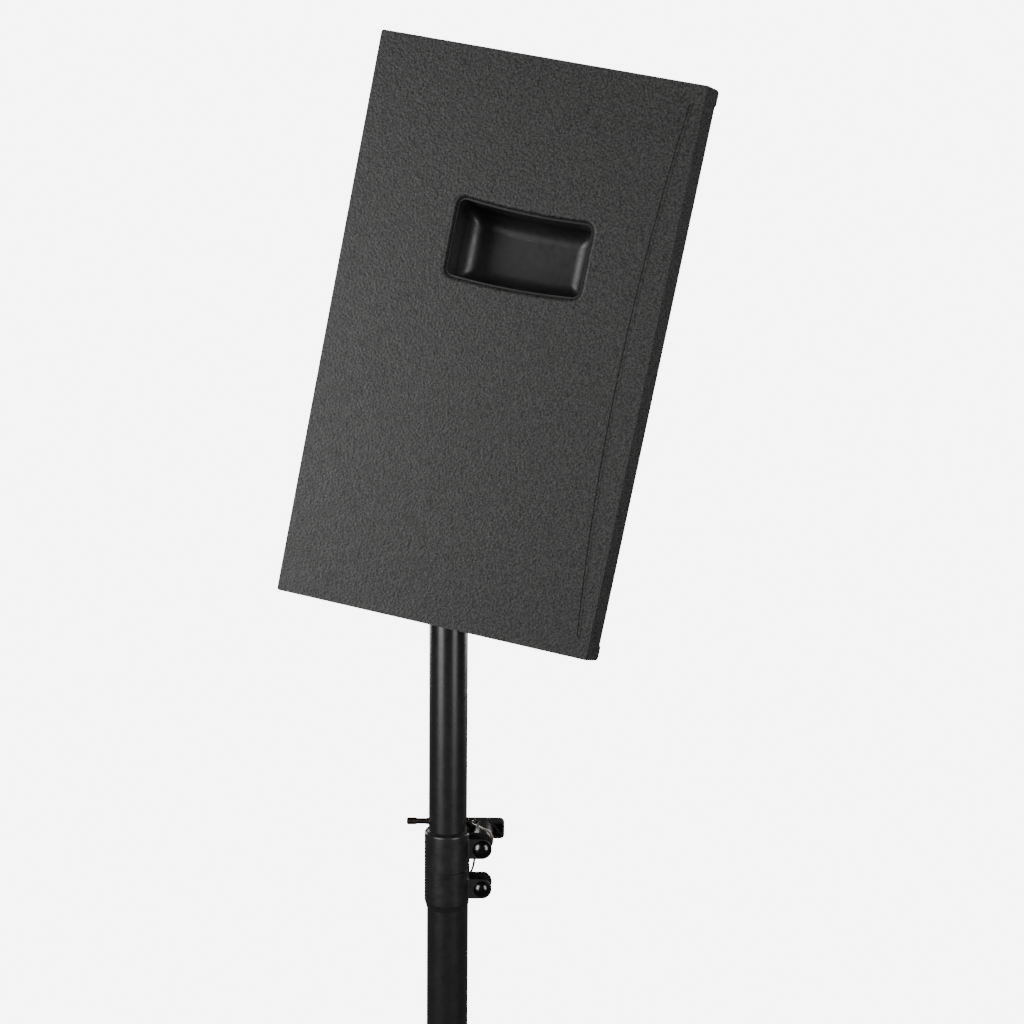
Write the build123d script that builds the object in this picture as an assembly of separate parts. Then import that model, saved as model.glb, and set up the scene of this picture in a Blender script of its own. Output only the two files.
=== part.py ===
from build123d import *
import os
from math import cos, pi, radians, sin, sqrt, tan

# Compact loudspeaker tilted forward on a telescopic tripod stand.
# Millimetres, +Z up, the loudspeaker faces +X.  The stand is drawn about the pole axis and
# every finished piece is moved by POLE_X, so that the origin lies under the middle of the feet.

# ---- driving dimensions: cabinet --------------------------------------------------------------
TILT = 10.98                 # forward lean of the cabinet, degrees
SPLAY = 8.0                  # each side opens this far towards the front, degrees
CAB_DEPTH = 266.3
CAB_HEIGHT = 453.0
REAR_HALF = 107.0            # half width at the rear
WALL = 15.0
FRONT_CREASE = 10.4          # depth of the bevel along the front of each side
BEVEL_IN = 9.0
CAB_X = -135.4               # rear bottom edge of the cabinet, seen from the pole axis
CAB_Z = 1314.5
BAFFLE_FRONT = 243.0
GRILLE_FRONT = 258.0
SHEET = 1.5                  # sheet steel of the grille

# ---- driving dimensions: poles and clamp ------------------------------------------------------
UPPER_OR = 17.5
UPPER_IR = 16.0
LOWER_OR = 19.0
LOWER_IR = 17.6
CLAMP_TOP = 1076.6
CLAMP_LENGTH = 72.6
CLAMP_OR = 21.3
PLATE = 2.3                  # pressed steel of the clamp
EAR_GAP = 7.55               # half of the gap between the ears
EAR_X = 31.6                 # bolt axes, out from the pole axis
EAR_R = 9.0
CLAMP_BOLT_Z = CLAMP_TOP - 16.3
FIXED_BOLT_Z = CLAMP_TOP - 53.6
SLIT_Z = CLAMP_TOP - 35.6
PIN_Z = CLAMP_TOP + 6.8
PIN_R = 3.0
HOLE_PITCH = 122.0
UPPER_LENGTH = 900.0
SOCKET_DEPTH = 80.0

# ---- driving dimensions: tripod ---------------------------------------------------------------
LEG_ANGLE = 37.0             # legs from the vertical when spread
PIVOT_R = 40.0               # upper and lower pivots, out from the pole axis
LINK = 210.0                 # brace length, and the leg from its top pivot to the brace
COLLAR_PIVOT_Z = 600.0
LEG_OR = 11.0
LEG_IR = 9.6
FOOT_R = 15.0
FOOT_Z = 13.0                # centre of the round foot over the floor
STRAP_IN = 12.0              # brace straps run at this distance beside the leg
STRAP_T = 2.0
LEG_AZIMUTHS = (0.0, 120.0, 240.0)
SLOT_RISE = 17.5             # travel of a leg's top pin in the collar slot

# ---- worked out from the above ----------------------------------------------------------------
SIN_LEG = sin(radians(LEG_ANGLE))
COS_LEG = cos(radians(LEG_ANGLE))
BRACKET_PIVOT_Z = COLLAR_PIVOT_Z - 2 * LINK * COS_LEG
LEG_LENGTH = (COLLAR_PIVOT_Z - FOOT_Z) / COS_LEG
FOOT_REACH = PIVOT_R + LEG_LENGTH * SIN_LEG
POLE_X = -FOOT_REACH / 4     # three feet at 120 degrees: half of reach minus half the reach
SPLAY_TAN = tan(radians(SPLAY))
WALL_W = WALL / cos(radians(SPLAY))
SOCKET_U = -CAB_X / cos(radians(TILT))
SOCKET_Z = CAB_Z - SOCKET_U * sin(radians(TILT))
SOCKET_BORE = UPPER_OR + 0.4
POLE_TOP = SOCKET_Z + SOCKET_DEPTH
STRAIGHT_U = 67.0            # the spare socket for a level cabinet
CAP_T = 4.0

LOW = (Align.CENTER, Align.CENTER, Align.MIN)
IN_CABINET = Pos(CAB_X, 0, CAB_Z) * Rot(0, TILT, 0)
FORWARD = Rot(0, 90, 0)      # turns +Z to +X
pieces = {}


# ---- helpers ----------------------------------------------------------------------------------
def rod(start, end, radius):
    """Round bar between two points."""
    start, end = Vector(*start), Vector(*end)
    axis = end - start
    return Plane(origin=start, z_dir=axis).location * Cylinder(radius, axis.length, align=LOW)


def ring(outer, inner, bottom, top):
    """Upright tube about the Z axis."""
    height = top - bottom
    body = Cylinder(outer, height, align=LOW) - Cylinder(inner, height, align=LOW)
    return Pos(0, 0, bottom) * body


def turned(points):
    """Solid turned about Z from a closed (radius, height) outline."""
    return revolve(Plane.XZ * make_face(Polyline(*points, close=True)), Axis.Z)


def block(x, y, z):
    """Box from three (low, high) pairs."""
    size = [high - low for low, high in (x, y, z)]
    return Pos(x[0], y[0], z[0]) * Box(*size, align=(Align.MIN,) * 3)


def half_width(u):
    """Half of the cabinet's outer width at the distance u from its rear."""
    return REAR_HALF + u * SPLAY_TAN


def between_sides(u, v, clearance=0.0):
    """Slab that fills the room between the two side panels."""
    rear, front = (half_width(at) - WALL_W - clearance for at in u)
    outline = Polyline((u[0], -rear), (u[1], -front), (u[1], front), (u[0], rear), close=True)
    return Pos(0, 0, v[0]) * extrude(make_face(outline), v[1] - v[0])


def pan_screw(length, head_r=4.2, shank_r=1.9):
    """Screw with a low domed head.  Its seat is at Z=0 and the shank points down."""
    head = turned([(0, 0), (head_r, 0), (head_r, 0.9), (head_r * 0.72, 2.0), (0, 2.5)])
    return head + Pos(0, 0, -length) * Cylinder(shank_r, length, align=LOW)


def group(solids):
    """Separate solids kept in one node."""
    return Compound(children=[solid for solid in solids])


def keep(name, shape):
    """Store a finished stand piece, moved to the common origin."""
    pieces[name] = Pos(POLE_X, 0, 0) * shape


def keep_cabinet(name, shape):
    """Store a finished piece that was drawn in the cabinet's own frame."""
    keep(name, IN_CABINET * shape)


# ---- cabinet: shell ---------------------------------------------------------------------------
def silhouette():
    """Side view of the cabinet as a wide prism: round front corners, crisp rear ones."""
    corner, nib = 11.0, 1.0
    front, top = CAB_DEPTH, CAB_HEIGHT
    outline = Polyline(
        (0, 0), (front, 0), (front, corner), (front - nib, corner + nib),
        (front - nib, top - corner - nib), (front, top - corner), (front, top), (0, top), close=True)
    face = make_face(outline)
    front_corners = [p for p in face.vertices() if p.X > front - 0.1 and not 1 < p.Y < top - 1]
    face = fillet(front_corners, 2.5)
    rear_corners = [p for p in face.vertices() if p.X < 0.1]
    face = fillet(rear_corners, 2.0)
    return extrude(Plane.XZ * face, 200.0, both=True)


SILHOUETTE = silhouette()
SIDE_PLANE = Plane(
    origin=(0, -REAR_HALF, 0),
    x_dir=(cos(radians(SPLAY)), -sin(radians(SPLAY)), 0),
    z_dir=(-sin(radians(SPLAY)), -cos(radians(SPLAY)), 0))
GRIP_REAR, GRIP_FRONT = 85.0, 195.0
GRIP_MID = (GRIP_REAR + GRIP_FRONT) / 2
CUP_WALL = 1.5
CUP_RIM = 4.5                # the cup starts this far below the outer face
CUP_DEPTH = 60.0


def grip_outline(grow=0.0):
    """Opening of the recessed grip: top and bottom edges sag slightly."""
    rear, front = GRIP_REAR - grow, GRIP_FRONT + grow
    top = ThreePointArc((rear, 339.0 + grow), (GRIP_MID, 334.9 + grow), (front, 336.4 + grow))
    low = ThreePointArc((rear, 276.0 - grow), (GRIP_MID, 273.8 - grow), (front, 276.8 - grow))
    face = make_face([top, Line(top @ 1, low @ 1), low, Line(low @ 0, top @ 0)])
    return fillet(face.vertices(), 7.0 + grow)


def side_panel():
    """Right side: bevelled front edge, moulded groove and the opening for the grip."""
    crease = CAB_DEPTH - FRONT_CREASE
    outline = Polyline(
        (0, -half_width(0)), (crease, -half_width(crease)), (CAB_DEPTH, BEVEL_IN - half_width(crease)),
        (CAB_DEPTH, WALL_W - half_width(CAB_DEPTH)), (0, WALL_W - half_width(0)), close=True)
    panel = extrude(make_face(outline), CAB_HEIGHT) & SILHOUETTE
    opening = SIDE_PLANE * extrude(grip_outline(), 20.0, both=True)
    panel = panel - opening
    lip = [edge for edge in panel.edges() if is_grip_rim(edge)]
    panel = fillet(lip, 3.0)
    groove_path = ThreePointArc((249.0, 18.5), (238.3, 226.0), (249.0, 435.5))
    groove = SIDE_PLANE * extrude(SlotArc(groove_path, 3.4), 1.1, both=True)
    return panel - groove


def is_grip_rim(edge):
    """True for the edges of the grip opening on the outer face of the side."""
    at = SIDE_PLANE.to_local_coords(edge.center())
    start = SIDE_PLANE.to_local_coords(edge @ 0)
    near_grip = GRIP_REAR - 8 < at.X < GRIP_FRONT + 8 and 265 < at.Y < 348
    return near_grip and abs(at.Z) < 0.05 and abs(start.Z) < 0.05


def handle_cup():
    """Moulded cup behind the opening, closed all round, with a flange inside the cabinet."""
    floor = Pos(0, 0, -CUP_DEPTH) * extrude(grip_outline(), CUP_DEPTH - CUP_RIM)
    floor = fillet(floor.faces().sort_by(Axis.Z)[0].edges(), 16.0)
    cavity = Pos(0, 0, CUP_WALL - CUP_DEPTH) * extrude(grip_outline(-CUP_WALL), CUP_DEPTH)
    cavity = fillet(cavity.faces().sort_by(Axis.Z)[0].edges(), 14.0)
    flange = Pos(0, 0, -WALL - 3.0) * extrude(grip_outline(9.0), 3.0)
    return SIDE_PLANE * (floor + flange - cavity)


def cup_screws():
    """Four screws through the cup's flange into the inside of the side panel."""
    points = [(GRIP_REAR - 4.6, 290), (GRIP_REAR - 4.6, 325), (GRIP_FRONT + 4.6, 290), (GRIP_FRONT + 4.6, 325)]
    screws = []
    for s, v in points:
        screws.append(SIDE_PLANE * Pos(s, v, -WALL - 3.0) * Rot(180, 0, 0) * pan_screw(11.0, 3.4, 1.6))
    return screws


def pole_socket():
    """Double pole socket: one bore leans with the pole, the spare one is square to the cabinet."""
    flange_t, wall, cap = 3.0, 3.0, 3.0
    middle = (SOCKET_U + STRAIGHT_U) / 2 - 4
    flange = extrude(Pos(middle, 0) * RectangleRounded(172.0, 74.0, 14.0), flange_t)
    outer = SOCKET_BORE + wall
    straight = Pos(STRAIGHT_U, 0, 0) * Cylinder(outer, SOCKET_DEPTH + cap, align=LOW)
    lean = Pos(SOCKET_U, 0, 0) * Rot(0, -TILT, 0)
    leaning = lean * Pos(0, 0, -20) * Cylinder(outer, SOCKET_DEPTH + cap + 20, align=LOW)
    leaning = leaning & block((0, 260), (-60, 60), (0, 200))
    web = block((STRAIGHT_U, SOCKET_U - 8), (-2, 2), (0, SOCKET_DEPTH - 12))
    body = flange + straight + leaning + web
    body -= Pos(STRAIGHT_U, 0, -1) * Cylinder(SOCKET_BORE, SOCKET_DEPTH + 1, align=LOW)
    body -= lean * Pos(0, 0, -20) * Cylinder(SOCKET_BORE, SOCKET_DEPTH + 20, align=LOW)
    return body


def socket_screws():
    """Six screws that hold the pole socket in the bottom panel."""
    middle = (SOCKET_U + STRAIGHT_U) / 2 - 4
    points = [(middle + du, w) for du in (-76.0, 0.0, 76.0) for w in (-29.0, 29.0)]
    return [Pos(u, w, 0) * Rot(180, 0, 0) * pan_screw(13.0) for u, w in points]


def terminal_plate():
    """Connector plate in a shallow rebate of the rear panel, with two round socket openings."""
    plate = block((0, 2.0), (-62, 62), (118, 188))
    dish = block((2.0, 13.0), (-50, 50), (128, 178)) - block((1.0, 11.0), (-48, 48), (130, 176))
    plate = plate - block((-1, 3), (-48, 48), (130, 176)) + dish
    for w in (-24.0, 24.0):
        plate -= Pos(5, w, 153) * FORWARD * Cylinder(13.0, 20.0, align=LOW)
    return plate


def terminal_socket(w):
    """Round locking loudspeaker connector with its key ring and contact core."""
    body = Pos(8.0, w, 153) * FORWARD * ring(13.0, 11.2, -3.0, 20.0)
    core = Pos(9.0, w, 153) * FORWARD * Cylinder(7.5, 20.0, align=LOW)
    base = Pos(26.0, w, 153) * FORWARD * Cylinder(13.0, 4.0, align=LOW)
    return body + core + base


def terminal_screws():
    """Four screws of the connector plate."""
    return [Pos(0, w, v) * Rot(0, -90, 0) * pan_screw(12.0) for w in (-55.5, 55.5) for v in (124.5, 181.5)]


def grille_screws():
    """Six screws through the grille into the baffle."""
    return [
        Pos(GRILLE_FRONT, w, v) * FORWARD * pan_screw(24.0)
        for w in (-117.0, 117.0) for v in (28.0, 268.0, CAB_HEIGHT - 28.0)]


# ---- cabinet: drivers -------------------------------------------------------------------------
WOOFER_V = 150.0
HORN_V = 350.0
WOOFER_R = 106.0
FLANGE_T = 4.0
CONE_R = 78.0
COIL_R = 13.1
ON_BAFFLE = Pos(BAFFLE_FRONT, 0, WOOFER_V) * FORWARD


def woofer_basket():
    """Pressed frame with a flat flange, a tapered wall with six windows and a rear seat."""
    outline = [
        (WOOFER_R, 0), (WOOFER_R, -FLANGE_T), (93, -FLANGE_T), (55, -56), (55, -62), (22, -62),
        (22, -59.5), (52, -59.5), (52, -55), (90.5, -2.5), (93, 0)]
    basket = turned(outline)
    for turn in range(6):
        basket -= Rot(0, 0, 60 * turn + 30) * block((56, 86), (-19, 19), (-52, -10))
    return basket


def woofer_magnet():
    """Magnet ring, plates and pole piece with the narrow gap for the coil."""
    return turned([
        (0, -86), (52, -86), (52, -62), (COIL_R + 1.9, -62), (COIL_R + 1.9, -80), (COIL_R - 1.1, -80),
        (COIL_R - 1.1, -58), (0, -58)])


def woofer_cone():
    """Paper cone glued to the coil former."""
    return turned([(COIL_R + 0.8, -45), (COIL_R + 2.0, -45), (CONE_R, -1.2), (CONE_R, 0), (CONE_R - 2.0, 0)])


def woofer_dust_cap():
    """Domed cap over the coil, seated on the cone."""
    rim, rise, thick, seat = 27.0, 8.5, 1.0, -35.3
    ball = (rim ** 2 + rise ** 2) / (2 * rise)
    shell = Sphere(ball) - Sphere(ball - thick)
    dome = Pos(0, 0, seat + rise - ball) * shell
    return dome & Pos(0, 0, seat) * Cylinder(rim + 5, rise + 5, align=LOW)


def woofer_coil():
    """Coil former with its winding in the magnet gap."""
    former = ring(COIL_R + 0.8, COIL_R, -74, -40)
    return former + ring(COIL_R + 1.3, COIL_R + 0.5, -72, -62)


def woofer_surround():
    """Half-roll rubber surround between the cone and the flange."""
    lip_in, roll_in, roll_out, lip_out = CONE_R - 4.0, CONE_R + 0.5, 91.0, 96.0
    middle, rise = (roll_in + roll_out) / 2, 6.0
    over = ThreePointArc((roll_in, 1), (middle, 1 + rise), (roll_out, 1))
    under = ThreePointArc((roll_out - 1, 0), (middle, rise), (roll_in + 1, 0))
    edges = [
        Line((lip_in, 0), (lip_in, 1)), Line((lip_in, 1), (roll_in, 1)), over,
        Line((roll_out, 1), (lip_out, 1)), Line((lip_out, 1), (lip_out, 0)),
        Line((lip_out, 0), (roll_out - 1, 0)), under, Line((roll_in + 1, 0), (lip_in, 0))]
    return revolve(Plane.XZ * make_face(edges), Axis.Z)


def horn():
    """Horn with a flat flange: a rounded mouth that narrows to a round throat."""
    throat, depth, wall = 12.7, 75.0, 3.0
    flange = Pos(0, 0, -FLANGE_T) * extrude(RectangleRounded(140, 190, 10), FLANGE_T)
    outer = loft([
        Pos(0, 0, -FLANGE_T) * RectangleRounded(112 + 2 * wall, 162 + 2 * wall, 12).face(),
        Pos(0, 0, -depth) * RectangleRounded(2 * throat + 2 * wall, 2 * throat + 2 * wall, 12).face()])
    inner = loft([
        Pos(0, 0, 0.01) * RectangleRounded(116, 166, 10).face(),
        Pos(0, 0, -depth - 0.01) * RectangleRounded(2 * throat, 2 * throat, 12).face()])
    plate = Pos(0, 0, -depth) * Cylinder(32, 5, align=LOW)
    return Pos(BAFFLE_FRONT, 0, HORN_V) * FORWARD * (flange + outer + plate - inner)


def compression_driver():
    """High-frequency driver bolted to the throat plate."""
    shape = turned([(12.5, -75), (32, -75), (32, -81), (43, -84), (43, -112), (38, -117), (0, -117), (0, -90), (12.5, -90)])
    return Pos(BAFFLE_FRONT, 0, HORN_V) * FORWARD * shape


def driver_screws():
    """Eight screws round the woofer and six round the horn."""
    screws = []
    for turn in range(8):
        place = Rot(0, 0, 45 * turn + 22.5) * Pos(101, 0, 0)
        screws.append(ON_BAFFLE * place * pan_screw(17.0, 3.8, 1.8))
    for w in (-90.0, 0.0, 90.0):
        for v in (-64.5, 64.5):
            screws.append(Pos(BAFFLE_FRONT, w, HORN_V + v) * FORWARD * pan_screw(17.0, 3.8, 1.8))
    return screws


def crossover():
    """Crossover board on stand-offs with two coils and three capacitors."""
    rear = WALL
    board = block((rear + 6, rear + 7.6), (-60, 60), (340, 420))
    for w in (-54, 54):
        for v in (346, 414):
            board += Pos(rear, w, v) * FORWARD * Cylinder(3, 6, align=LOW)
    for w, r in ((-34, 17), (28, 14)):
        board += Pos(rear + 7.6, w, 362) * FORWARD * (Cylinder(r, 18, align=LOW) - Cylinder(r / 2, 18, align=LOW))
    for w in (-36, 2, 38):
        board += Pos(rear + 15.5, w, 388) * Cylinder(8, 26, align=LOW)
    return board


def cabinet_shell():
    """Panels, each cut for the pieces let into it."""
    top = between_sides((0, CAB_DEPTH), (CAB_HEIGHT - WALL, CAB_HEIGHT)) & SILHOUETTE
    bottom = between_sides((0, CAB_DEPTH), (0, WALL)) & SILHOUETTE
    rear = between_sides((0, WALL), (WALL, CAB_HEIGHT - WALL))
    baffle = between_sides((BAFFLE_FRONT - WALL, BAFFLE_FRONT), (WALL, CAB_HEIGHT - WALL))

    socket = pole_socket()
    middle = (SOCKET_U + STRAIGHT_U) / 2 - 4
    bottom -= Pos(middle, 0, 0) * extrude(RectangleRounded(172.0, 74.0, 14.0), 3.0)
    outer = SOCKET_BORE + 3.0
    bottom -= Pos(STRAIGHT_U, 0, 0) * Cylinder(outer, 40.0, align=LOW)
    bottom -= Pos(SOCKET_U, 0, 0) * Rot(0, -TILT, 0) * Pos(0, 0, -20) * Cylinder(outer, 60.0, align=LOW)
    bottom -= block((STRAIGHT_U, SOCKET_U), (-2, 2), (0, WALL))

    rear -= block((0, 2.0), (-62, 62), (118, 188))
    rear -= block((-1, WALL + 1), (-50, 50), (128, 178))

    baffle -= ON_BAFFLE * Pos(0, 0, -FLANGE_T) * Cylinder(WOOFER_R, 10, align=LOW)
    baffle -= ON_BAFFLE * Pos(0, 0, -30) * Cylinder(94, 40, align=LOW)
    at_horn = Pos(BAFFLE_FRONT, 0, HORN_V) * FORWARD
    baffle -= at_horn * Pos(0, 0, -FLANGE_T) * extrude(RectangleRounded(140, 190, 10), 10)
    baffle -= at_horn * Pos(0, 0, -30) * extrude(RectangleRounded(122, 172, 12), 40)
    return top, bottom, rear, baffle, socket


def grille_pan():
    """Grille sheet with its edges turned back to the baffle."""
    back = GRILLE_FRONT - SHEET
    gap = 0.4
    low, high = WALL + gap, CAB_HEIGHT - WALL - gap
    pan = between_sides((BAFFLE_FRONT, GRILLE_FRONT), (low, high), gap)
    room = between_sides((BAFFLE_FRONT - 1, back), (low + SHEET, high - SHEET), gap + SHEET)
    return pan - room


def grille_foam():
    """Thin foam sheet glued behind the grille."""
    back = GRILLE_FRONT - SHEET
    return between_sides((back - 3.5, back), (WALL + 3.0, CAB_HEIGHT - WALL - 3.0), 3.0)


def build_cabinet():
    """Make every piece of the loudspeaker."""
    mirror_side = Plane.XZ
    top, bottom, rear, baffle, socket = cabinet_shell()
    panel, cup = side_panel(), handle_cup()
    grip_screws, pole_screws = cup_screws(), socket_screws()
    plate_screws, front_screws, frame_screws = terminal_screws(), grille_screws(), driver_screws()

    panel, cup = cut_by(panel, grip_screws), cut_by(cup, grip_screws)
    bottom, socket = cut_by(bottom, pole_screws), cut_by(socket, pole_screws)
    plate = cut_by(terminal_plate(), plate_screws)
    rear = cut_by(rear, plate_screws)
    baffle = cut_by(baffle, front_screws + frame_screws)
    grille, foam = cut_by(grille_pan(), front_screws), cut_by(grille_foam(), front_screws)
    basket = ON_BAFFLE * woofer_basket()
    basket, horn_body = cut_by(basket, frame_screws), cut_by(horn(), frame_screws)

    keep_cabinet("side_panel_right", panel)
    keep_cabinet("side_panel_left", mirror(panel, about=mirror_side))
    keep_cabinet("top_panel", top)
    keep_cabinet("bottom_panel", bottom)
    keep_cabinet("rear_panel", rear)
    keep_cabinet("front_baffle", baffle)
    keep_cabinet("grille", grille)
    keep_cabinet("grille_foam", foam)
    keep_cabinet("handle_cup_right", cup)
    keep_cabinet("handle_cup_left", mirror(cup, about=mirror_side))
    keep_cabinet("pole_socket", socket)
    keep_cabinet("terminal_plate", plate)
    keep_cabinet("terminal_sockets", group([terminal_socket(w) for w in (-24.0, 24.0)]))
    keep_cabinet("crossover_board", crossover())
    far_screws = [mirror(screw, about=mirror_side) for screw in grip_screws]
    keep_cabinet("cabinet_screws", group(pole_screws + plate_screws + front_screws + grip_screws + far_screws))
    keep_cabinet("driver_screws", group(frame_screws))
    keep_cabinet("woofer_basket", basket)
    keep_cabinet("woofer_magnet", ON_BAFFLE * woofer_magnet())
    keep_cabinet("woofer_cone", ON_BAFFLE * woofer_cone())
    keep_cabinet("woofer_dust_cap", ON_BAFFLE * woofer_dust_cap())
    keep_cabinet("woofer_voice_coil", ON_BAFFLE * woofer_coil())
    keep_cabinet("woofer_surround", ON_BAFFLE * woofer_surround())
    keep_cabinet("horn", horn_body)
    keep_cabinet("compression_driver", compression_driver())


def cut_by(shape, tools):
    """Remove each tool from the shape."""
    for tool in tools:
        shape = shape - tool
    return shape


# ---- poles and clamp --------------------------------------------------------------------------
def upper_tube():
    """Sliding tube with a row of pin holes."""
    bottom = POLE_TOP - CAP_T - UPPER_LENGTH
    tube = ring(UPPER_OR, UPPER_IR, bottom, POLE_TOP - CAP_T)
    for step in range(-4, 2):
        z = PIN_Z + step * HOLE_PITCH
        tube -= rod((-30, 0, z), (30, 0, z), PIN_R + 0.4)
    return tube


def pole_cap():
    """Plug in the top of the tube, on which the cabinet's socket rests and turns."""
    top = POLE_TOP
    return turned([
        (0, top), (UPPER_OR - 1.7, top), (UPPER_OR - 0.4, top - 1.3), (UPPER_OR - 0.4, top - CAP_T),
        (UPPER_IR - 0.3, top - CAP_T), (UPPER_IR - 0.3, top - 26), (UPPER_IR - 2.5, top - 26),
        (UPPER_IR - 2.5, top - 4), (0, top - 4)])


def lower_tube():
    """Fixed lower tube; its top ends inside the clamp."""
    return ring(LOWER_OR, LOWER_IR, BRACKET_PIVOT_Z - 22, SLIT_Z - 1.5)


def ear_outline(z):
    """Side view of one pair of ears."""
    tab = Pos(EAR_X, z) * Circle(EAR_R) + Pos((EAR_X + 14) / 2, z) * Rectangle(EAR_X - 14, 2 * EAR_R)
    return extrude(Plane.XZ * tab, 40, both=True)


def clamp_sleeve():
    """Pressed split sleeve with two pairs of ears and a relief slit between its halves."""
    top, low = CLAMP_TOP, CLAMP_TOP - CLAMP_LENGTH
    bore = LOWER_OR + 0.02
    lip, edge, drop = UPPER_OR + 0.25, CLAMP_OR - 2.2, 1.0
    shoulder = ThreePointArc((CLAMP_OR, top - drop - 2.4), (CLAMP_OR - 0.65, top - drop - 0.7), (edge, top - drop))
    edges = [
        Polyline((bore, top - 5.5), (bore, low), (bore + 0.5, low), (CLAMP_OR, low + 6), (CLAMP_OR, top - drop - 2.4)),
        shoulder, Polyline((edge, top - drop), (lip, top), (lip, top - 2.2), (bore, top - 5.5))]
    sleeve = revolve(Plane.XZ * make_face(edges), Axis.Z)
    sleeve -= block((0, 40), (-EAR_GAP, EAR_GAP), (low - 1, top + 1))
    for side in (-1, 1):
        face = Circle(CLAMP_OR) - Circle(bore)
        face -= Pos(15, 0) * Rectangle(60, 2 * EAR_GAP)
        middle = side * (EAR_GAP + PLATE / 2)
        plate = Pos((17.6 + 45) / 2, middle) * Rectangle(45 - 17.6, PLATE)
        face = face + plate
        outer_corner = [
            p for p in face.vertices()
            if abs(p.Y - side * (EAR_GAP + PLATE)) < 0.01 and 15 < p.X < 22]
        face = fillet(outer_corner, 3.5)
        bend = extrude(face, 100).moved(Pos(0, 0, low))
        for z in (CLAMP_BOLT_Z, FIXED_BOLT_Z):
            sleeve += bend & ear_outline(z)
    slit_half = 0.85
    slit = block((-13, 40), (-40, 40), (SLIT_Z - slit_half, SLIT_Z + slit_half))
    slit &= block((3.5, 40), (-40, 40), (SLIT_Z - 5, SLIT_Z + 5))
    sleeve -= slit
    for z in (CLAMP_BOLT_Z, FIXED_BOLT_Z):
        sleeve -= rod((EAR_X, -20, z), (EAR_X, 20, z), 4.2)
    return sleeve


def guide_bush():
    """Split plastic liner that guides the sliding tube in the upper half of the clamp."""
    bush = ring(LOWER_OR - 0.02, UPPER_OR + 0.15, SLIT_Z - 1.0, CLAMP_TOP - 6.0)
    return bush - block((0, 40), (-1.2, 1.2), (SLIT_Z - 5, CLAMP_TOP))


def carriage_bolt(z, head_r, length):
    """Domed bolt along +Y with its head outside the near ear."""
    seat = EAR_GAP + PLATE
    height = 4.1
    dome = ThreePointArc((0, height), (head_r * 0.62, height * 0.79), (head_r, 0.7))
    edges = [dome, Line((head_r, 0.7), (head_r, 0)), Line((head_r, 0), (0, 0)), Line((0, 0), (0, height))]
    head = revolve(Plane.XZ * make_face(edges), Axis.Z)
    shank = Pos(0, 0, -length) * Cylinder(3.9, length, align=LOW)
    tip = chamfer(shank.faces().sort_by(Axis.Z)[0].edges(), 0.8)
    return Pos(EAR_X, -seat, z) * Rot(90, 0, 0) * (head + tip)


def hex_nut(height, across=13.0, bore=3.95):
    """Hexagon nut with chamfered corners, seat at Z=0."""
    prism = extrude(RegularPolygon(across / sqrt(3), 6), height)
    crown = turned([
        (0, 0), (across / 2 + 0.2, 0), (across / sqrt(3) + 0.2, 1.0),
        (across / sqrt(3) + 0.2, height - 1.0), (across / 2 + 0.2, height), (0, height)])
    return (prism & crown) - Cylinder(bore, height * 2 + 2)


TAB_T = 0.8
HUB_Y = 12.5
CROSS_Y = 43.0
CROSS_DEPTH = 14.0
CROSS_HALF = 20.0
CROSS_RISE = 8.4


def clamp_knob():
    """T-shaped moulded knob: round hub, rounded crossbar cored from the hub side."""
    bar = Pos(0, 0, CROSS_Y) * Box(2 * CROSS_HALF, 2 * CROSS_RISE, CROSS_DEPTH, align=LOW)
    bar = fillet(bar.edges().filter_by(Axis.Z), 4.0)
    bar = fillet(bar.faces().sort_by(Axis.Z)[-1].edges(), 3.5)
    wall = 2.0
    for side in (-1, 1):
        pocket = block((9.5, CROSS_HALF - wall), (wall - CROSS_RISE, CROSS_RISE - wall), (CROSS_Y - 1, CROSS_Y + 10))
        rib = Rot(0, 0, 50 * side) * Box(40, 1.6, 60)
        pocket = (pocket if side > 0 else mirror(pocket, about=Plane.YZ)) - Pos(side * 13.5, 0, CROSS_Y) * rib
        bar -= pocket
    hub = turned([
        (0, HUB_Y), (6.7, HUB_Y), (6.7, HUB_Y + 6), (8.4, HUB_Y + 14), (9.2, CROSS_Y - 4),
        (9.6, CROSS_Y + 2), (0, CROSS_Y + 2)])
    knob = bar + hub
    knob -= Pos(0, 0, HUB_Y - 1) * Cylinder(4.3, 33, align=LOW)
    knob -= Pos(0, 0, HUB_Y + 3) * extrude(RegularPolygon(11.0 / sqrt(3), 6), 9)
    return Pos(EAR_X, 0, CLAMP_BOLT_Z) * Rot(-90, 0, 0) * knob


def knob_insert():
    """Threaded steel insert moulded into the knob."""
    insert = extrude(RegularPolygon(11.0 / sqrt(3), 6), 9) - Cylinder(4.05, 30)
    return Pos(EAR_X, HUB_Y + 3, CLAMP_BOLT_Z) * Rot(-90, 0, 0) * insert


CRIMP_TURN = 60.0            # the crimp points down and back from the bolt
CRIMP_OUT = 13.6


def lanyard_eye():
    """Crimped ring terminal of the lanyard, held on the bolt behind the far ear."""
    inner = 4.25
    tail = Pos(-9.0, 0) * Rectangle(6.0, 3.4)
    plate = extrude(Circle(6.8) + tail - Circle(inner), TAB_T)
    barrel = rod((-CRIMP_OUT, 0, TAB_T + 0.9), (-8.4, 0, TAB_T + 0.9), 1.7)
    at_bolt = Pos(EAR_X, EAR_GAP + PLATE + 0.02, CLAMP_BOLT_Z) * Rot(-90, 0, 0)
    return at_bolt * Rot(0, 0, -CRIMP_TURN) * (plate + barrel)


def clamp_washer():
    """Washer between the ring terminal and the knob."""
    seat = EAR_GAP + PLATE + TAB_T + 0.1
    return Pos(EAR_X, seat, CLAMP_BOLT_Z) * Rot(-90, 0, 0) * ring(7.2, 4.25, 0, 1.6)


PIN_TIP = -37.6
PIN_EYE = 22.3


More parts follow.
